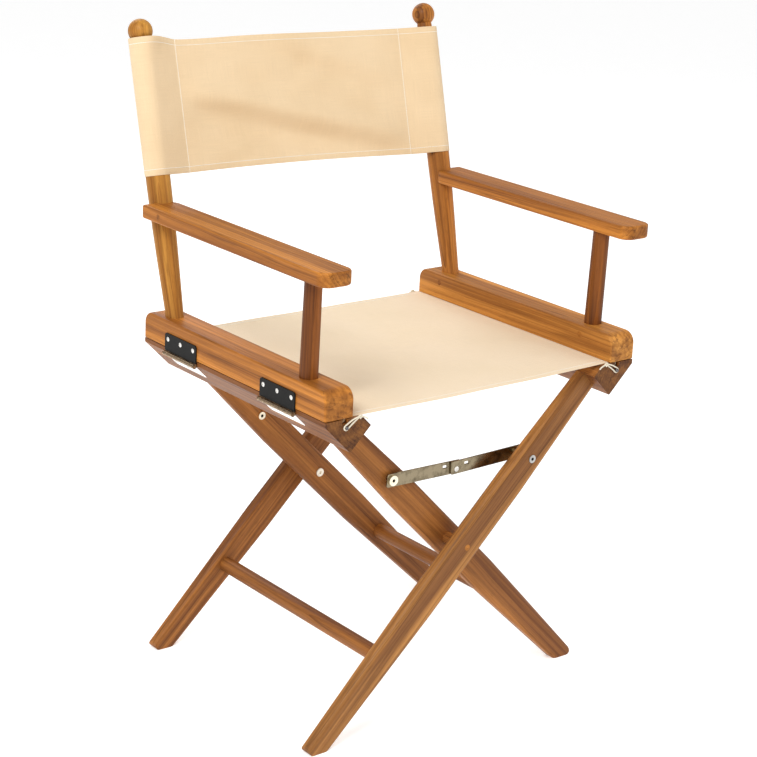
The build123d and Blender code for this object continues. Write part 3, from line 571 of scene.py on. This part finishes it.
left_hem = seat_side(-1)
right_hem = seat_side(1)
left_start = (-rod_at[0], seat_top)
right_end = (rod_at[0], seat_top)
seat_path = left_hem + split_line(left_start, right_end, seat_step)[1:-1] + right_hem[::-1]
seat_front = seat_low.y
seat_back = seat_high.y + back_overhang
hem_width = 0.011
seat_rows = [(seat_front + hem_width, fold_gap), (seat_front + edge_turn, fold_gap),
             (seat_front, fold_gap / 2)]
seat_span = split_line((seat_front + edge_turn,), (seat_back - edge_turn,), seat_step)
seat_rows += [(v[0], 0.0) for v in seat_span]
seat_rows += [(seat_back, fold_gap / 2), (seat_back - edge_turn, fold_gap),
              (seat_back - hem_width, fold_gap)]
seat_mid_y = (seat_front + seat_back) / 2
seat_half_y = (seat_back - seat_front) / 2


deepest_sag = 0.0034
ripple_height = 0.0003
front_tautness, back_tautness = 0.45, 0.95


def seat_sag(x, y):
    """How far the seat hangs below its taut level."""
    across = max(0.0, 1 - (x / hem_edge) ** 2)
    share = (y - seat_mid_y) / seat_half_y
    along = 1 - (front_tautness if share < 0 else back_tautness) * share ** 2
    ripple = ripple_height * math.sin(38 * x + 9 * y) * across
    return deepest_sag * across * along + ripple


def seat_place(x, z, y):
    """Where a point of the seat lies: across, its taut level, and its distance back."""
    level = z > seat_top - 0.0015
    return (x, y, z - (seat_sag(x, y) if level else 0.0))


def seat_fold(x, z):
    """Hems fold under the seat; inside the side hems there is hardly room for them."""
    return -1.0 if abs(x) < hem_edge and z > seat_top - 0.0002 else -0.06


seat = cloth_piece("seat_cloth", [seat_path], seat_rows, seat_place, seat_fold,
                   cloth_thickness, seat_cloth)
seat_lines = []
stitch_row = hem_edge - 0.002
on_top = cloth_thickness / 2 + 0.0001
for y in (seat_front + hem_width - stitch_in, seat_back - hem_width + stitch_in):
    line = split_line((-stitch_row, y), (stitch_row, y), 0.006)
    seat_lines.append([(x, yy, seat_top - seat_sag(x, yy) + on_top) for x, yy in line])
seat_thread = stitches("seat_stitches", seat_lines, thread, stitch_pitch, stitch_length, 0.0003)
for piece in (seat, seat_thread):
    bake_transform(piece)
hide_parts("seat_canvas", "seat_hem_left", "seat_hem_right")

# ---------------------------------------------------------------- the back
back_low, back_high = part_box("back_canvas")
panel_half = 0.0009         # half the thickness of the plain CAD panel
back_origin = Vector((0, back_low.y + panel_half * math.cos(lean),
                      back_low.z + panel_half * math.sin(lean)))
back_tall = (back_high.z - back_low.z - 2 * panel_half * math.sin(lean)) / math.cos(lean)
sleeve_low, sleeve_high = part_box("back_sleeve_right")
post_x = (sleeve_low.x + sleeve_high.x) / 2
wrap_radius = (sleeve_high.x - sleeve_low.x) / 2 - cloth_thickness / 2
seam_in = 0.050             # from a post's axis to its sleeve's seam
flap_in = 0.060             # and to the end of the sleeve's layer behind the panel
split_at = 0.225            # the panel's piece ends here and the sleeves' pieces begin
seam_x = post_x - seam_in
sag_reach, sag_depth = 0.19, 0.006
top_droop = 0.0010
left_droop, droop_at = 0.0042, -0.185
droop_left, droop_right = 0.024, 0.085
bottom_rise = 0.0030
lift_left, lift_right = 0.0085, -0.0025
lean_forward, lean_at, lean_width, lean_height = 0.0055, -0.236, 0.020, 0.013
tuck_at, tuck_up, tuck_depth = -0.246, 0.016, 0.0016
tuck_width, tuck_height = 0.014, 0.004
touch = math.acos(wrap_radius / seam_in)
back_face = Vector((0, math.cos(lean), -math.sin(lean)))
back_up = Vector((0, math.sin(lean), math.cos(lean)))


def crease(x, v):
    """Soft creases of the hanging back cloth, in metres out of its plane."""
    height = v / back_tall
    inside = max(0.0, 1 - (x / sag_reach) ** 2)
    sag = sag_depth * inside * (0.55 + 0.45 * math.sin(math.pi * height))
    folds = 0.0
    for x0, v0, angle, width, size, length in back_creases:
        dx, dv = x - x0, v - v0
        c, s = math.cos(angle), math.sin(angle)
        along, across = dx * c + dv * s, (-dx * s + dv * c) / width
        folds += size * across * math.exp(-across ** 2 - (along / length) ** 2)
    return sag + folds * min(1.0, 3 * inside)


back_creases = [
    # middle of the crease (x, up the cloth), its angle, half width, depth, half length
    (0.020, 0.050, math.radians(-13), 0.024, -0.0240, 0.210),
    (-0.120, 0.088, math.radians(-8), 0.013, -0.0040, 0.080),
    (0.060, 0.140, math.radians(-18), 0.022, -0.0090, 0.120),
    (0.020, 0.125, math.radians(38), 0.016, 0.0020, 0.060),
    (-0.120, 0.160, math.radians(12), 0.010, -0.0012, 0.060),
    (-0.100, 0.020, math.radians(16), 0.012, -0.0014, 0.070),
]


def rise(x):
    """How much higher the cloth sits on the left post than on the right one."""
    share = min(1.0, max(0.0, 0.5 - x / (2 * post_x)))
    return lift_right + (lift_left - lift_right) * share


def droop(x, inside):
    """How far the top edge hangs down: most beside the left seam."""
    off_seam = x - droop_at
    spread = droop_left if off_seam < 0 else droop_right
    return top_droop * inside + left_droop * math.exp(-(off_seam / spread) ** 2)


def slack_corner(x, v):
    """The slack left sleeve leans forward at its top and has a small tuck low down."""
    window = math.exp(-((x - lean_at) / lean_width) ** 2)
    top = math.exp(-((back_tall - v) / lean_height) ** 2)
    dx, dv = (x - tuck_at) / tuck_width, (v - tuck_up) / tuck_height
    tuck = dv * math.exp(-dx ** 2 - dv ** 2)
    return window * (-lean_forward * top) + tuck_depth * tuck


def back_place(x, depth, v):
    """Where a point of the back lies: across, behind the posts' plane, and up the cloth."""
    inside = max(0.0, 1 - (x / seam_x) ** 2)
    if depth < 0.0005:
        depth += slack_corner(x, v)
    if inside:
        depth += crease(x, v)
        v += bottom_rise * inside * (1 - v / back_tall) ** 2
    v -= droop(x, inside) * max(0.0, v / back_tall) ** 2
    v += rise(x)
    return tuple(back_origin + Vector((x, 0, 0)) + back_face * depth + back_up * v)


def front_side(side, x_to):
    """Front layer of a sleeve from its seam out to x_to, as (x, depth) points."""
    tangent = (post_x - wrap_radius * math.cos(touch), -wrap_radius * math.sin(touch))
    seam = (post_x - seam_in, 0.0)
    share = (x_to - seam[0]) / (tangent[0] - seam[0])
    end = (x_to, tangent[1] * share)
    return [(side * x, d) for x, d in split_line(seam, end, 0.004)]


def round_post(side):
    """The cloth from the split on the front, round the post, to the split on the back."""
    tangent = (post_x - wrap_radius * math.cos(touch), -wrap_radius * math.sin(touch))
    split = front_side(1, split_at)[-1]
    path = split_line(split, tangent, 0.003)[:-1]
    sweep = 2 * (math.pi - touch)
    count = 36
    for step in range(count + 1):
        angle = math.pi + touch + sweep * step / count
        path.append((post_x + wrap_radius * math.cos(angle), wrap_radius * math.sin(angle)))
    path += split_line((tangent[0], -tangent[1]), (split[0], -split[1]), 0.003)[1:]
    return [(side * x, d) for x, d in path]


back_hem = 0.010
back_gap = fold_gap * 0.85
turn_gap = fold_gap * 0.4
back_thickness = cloth_thickness * 0.8
back_rows = [(back_hem, back_gap), (edge_turn, back_gap), (0.0, turn_gap)]
back_rows += [(v[0], 0.0) for v in split_line((edge_turn,), (back_tall - edge_turn,), 0.006)]
back_rows += [(back_tall, turn_gap), (back_tall - edge_turn, back_gap),
              (back_tall - back_hem, back_gap)]

left_front = front_side(-1, split_at)[::-1]
right_front = front_side(1, split_at)
middle = split_line(left_front[-1], right_front[0], 0.006)[1:-1]
behind = 2 * fold_gap + cloth_thickness
strands = [left_front + middle + right_front]
for side in (-1, 1):
    inner = split_line((side * (post_x - flap_in), behind), (side * seam_x, behind), 0.004)
    outer = [(x, -d) for x, d in front_side(side, split_at)][1:]
    strands.append(inner + outer)


def back_fold(x, depth):
    """Which side of a layer its hem folds to: always in between the layers."""
    return 1.0 if depth < 0.0005 or x < 0 else -1.0


back_middle = cloth_piece("back_cloth_middle", strands, back_rows, back_place, back_fold,
                          back_thickness, back_cloth)
back_sleeves = {}
for side, sign in SIDES.items():
    back_sleeves[side] = cloth_piece(
        f"back_cloth_{side}", [round_post(sign)], back_rows, back_place,
        lambda x, depth, sign=sign: sign, back_thickness, back_cloth)
    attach(back_sleeves[side], f"{side}_arm")
    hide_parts(f"back_sleeve_{side}")

off_face = -(cloth_thickness * 0.4 + 0.0001)
seam_stitch_in = 0.0012
back_stitch_radius = 0.00036
back_lines = []
for x in (-seam_x + seam_stitch_in, seam_x - seam_stitch_in):
    back_lines.append([back_place(x, off_face, v[0])
                       for v in split_line((0.001,), (back_tall - 0.001,), 0.005)])
for v in (back_hem - stitch_in, back_tall - back_hem + stitch_in):
    path = [p for p in strands[0] if abs(p[0]) < split_at - 0.001]
    sides = normals(path)
    back_lines.append([back_place(p + nx * off_face, q + ny * off_face, v)
                       for (p, q), (nx, ny) in zip(path, sides)])
back_thread = stitches("back_stitches", back_lines, thread, stitch_pitch, stitch_length,
                       back_stitch_radius)
sleeve_threads = {}
for side, sign in SIDES.items():
    hem_lines = []
    for v in (back_hem - stitch_in, back_tall - back_hem + stitch_in):
        path = round_post(sign)
        path = path[: len(path) * 2 // 3]
        outwards = [(nx * -sign, nz * -sign) for nx, nz in normals(path)]
        hem_lines.append([back_place(p + nx * -off_face, q + nz * -off_face, v)
                          for (p, q), (nx, nz) in zip(path, outwards)])
    sleeve_threads[side] = stitches(f"sleeve_stitches_{side}", hem_lines, thread,
                                    stitch_pitch, stitch_length, back_stitch_radius)
    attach(sleeve_threads[side], f"{side}_arm")
for piece in (back_middle, back_thread):
    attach(piece, "left_arm")
    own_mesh(piece)
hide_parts("back_canvas")
for side, sign in SIDES.items():
    walk(round_post(sign))[-1]


# ---------------------------------------------------------------- seat strings
def rope(name, paths, radius, lay, material):
    """Cord of three twisted yarns along each path; lay is the length of one full twist."""
    data = bpy.data.curves.new(name, "CURVE")
    data.dimensions = "3D"
    yarn_radius = radius * 0.52
    data.bevel_depth = yarn_radius
    data.bevel_resolution = 1
    data.use_fill_caps = True
    for path in paths:
        points = [Vector(p) for p in path]
        run = walk(path)
        side_way = Vector((0.0, 1.0, 0.0))
        for start in (0, 120, 240):
            spline = data.splines.new("POLY")
            spline.points.add(len(points) - 1)
            for i, point in enumerate(points):
                ahead = points[min(i + 1, len(points) - 1)] - points[max(i - 1, 0)]
                ahead.normalize()
                u = side_way - ahead * side_way.dot(ahead)
                u.normalize()
                w = ahead.cross(u)
                angle = math.radians(start) + 2 * math.pi * run[i] / lay
                at = point + (u * math.cos(angle) + w * math.sin(angle)) * yarn_radius
                spline.points[i].co = (*at, 1.0)
    maker = bpy.data.objects.new(name + "_maker", data)
    bpy.context.scene.collection.objects.link(maker)
    bpy.context.view_layer.update()
    seen = maker.evaluated_get(bpy.context.evaluated_depsgraph_get())
    mesh = bpy.data.meshes.new_from_object(seen)
    bpy.data.objects.remove(maker)
    piece = link(name, mesh, material)
    mesh.shade_smooth()
    return piece


def bowed(a, b, bow, count):
    """Points from a to b along a shallow arch that rises bow above the straight line."""
    points = []
    for i in range(count + 1):
        t = i / count
        lift = bow * math.sin(math.pi * t)
        points.append((a[0] + (b[0] - a[0]) * t, a[1], a[2] + (b[2] - a[2]) * t + lift))
    return points


string_radius = 0.00112
string_off_wood = 0.00025
knot_size = 0.00075
screw_loop = 0.0030
knot_in = 0.021
knot_up = 0.0115


def seat_string(side, end):
    """One string: from the knot down round its screw and back, the knot, and its tail."""
    sign = SIDES[side]
    low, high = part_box(f"tie_screws_{side}")
    rail_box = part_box(f"seat_rail_{side}")
    out = -1 if end == "front" else 1
    face = rail_box[0].y if end == "front" else rail_box[1].y
    y = face + out * (string_radius + string_off_wood)
    screw = ((low.x + high.x) / 2, (low.z + high.z) / 2)
    knot = Vector((screw[0] - sign * knot_in, face + out * 0.0024, screw[1] + knot_up))
    aim = math.atan2(knot_up, knot_in)
    loop = []
    for step in range(17):
        angle = aim + math.pi / 2 + math.pi * step / 16
        loop.append((screw[0] - sign * screw_loop * math.cos(angle), y,
                     screw[1] + screw_loop * math.sin(angle)))
    at_knot = (knot.x, y, knot.z)
    upper_run = bowed(at_knot, loop[0], 0.0016, 26)[:-1]
    lower_run = bowed(loop[-1], at_knot, 0.0006, 26)[1:]
    path = upper_run + loop + lower_run
    ball = []
    for step in range(73):
        t = 2 * math.pi * step / 72
        ball.append(knot + knot_size * Vector((math.sin(t) + 2 * math.sin(2 * t),
                                               -0.8 * math.sin(3 * t),
                                               math.cos(t) - 2 * math.cos(2 * t))))
    tail_end = (knot.x - sign * 0.012, knot.y, knot.z - 0.0050)
    tail = bowed((knot.x, knot.y, knot.z), tail_end, 0.0010, 18)
    return [path, [tuple(p) for p in ball], tail]


for side, body in (("right", "outer_frame"), ("left", "inner_frame")):
    strings = rope(f"seat_strings_{side}", seat_string(side, "front") + seat_string(side, "back"),
                   string_radius, 0.006, string)
    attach(strings, body)
    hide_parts(f"seat_ties_{side}")

# ---------------------------------------------------------------- floor and light
floor_mesh = bpy.data.meshes.new("floor")
reach = 12.0
floor_corners = [(-reach, -reach, 0), (reach, -reach, 0), (reach, reach, 0), (-reach, reach, 0)]
floor_mesh.from_pydata(floor_corners, [], [(0, 1, 2, 3)])
g = Graph("floor_paint")
coords = g.add("ShaderNodeTexCoord", {}).outputs["Object"]
grain = g.noise(coords, scale=14.0, detail=3.0)
floor_tone = g.mix(g.stretch(0.3, 0.7, grain), shade(0.89), shade(0.91))
floor = link("floor", floor_mesh, g.finish(Base_Color=floor_tone, Roughness=0.9,
                                           Emission_Color=shade(1.0), Emission_Strength=0.40))

world = bpy.data.worlds.new("studio")
world.use_nodes = True
world.node_tree.nodes["Background"].inputs["Color"].default_value = (1.0, 1.0, 1.0, 1.0)
world.node_tree.nodes["Background"].inputs["Strength"].default_value = 0.62
bpy.context.scene.world = world
bpy.context.scene.view_settings.view_transform = "Standard"


def softbox(name, place, aim, size, power):
    data = bpy.data.lights.new(name, "AREA")
    data.shape = "SQUARE"
    data.size = size
    data.energy = power
    lamp = bpy.data.objects.new(name, data)
    bpy.context.scene.collection.objects.link(lamp)
    lamp.location = place
    lamp.rotation_euler = (Vector(aim) - Vector(place)).to_track_quat("-Z", "Y").to_euler()


softbox("key", (-2.4, -1.4, 3.0), (0, 0, 0.4), 1.5, 85)
softbox("fill", (2.2, -2.4, 1.8), (0, 0, 0.4), 2.0, 18)
softbox("back_light", (0.6, 2.8, 2.4), (0, 0, 0.5), 2.0, 34)
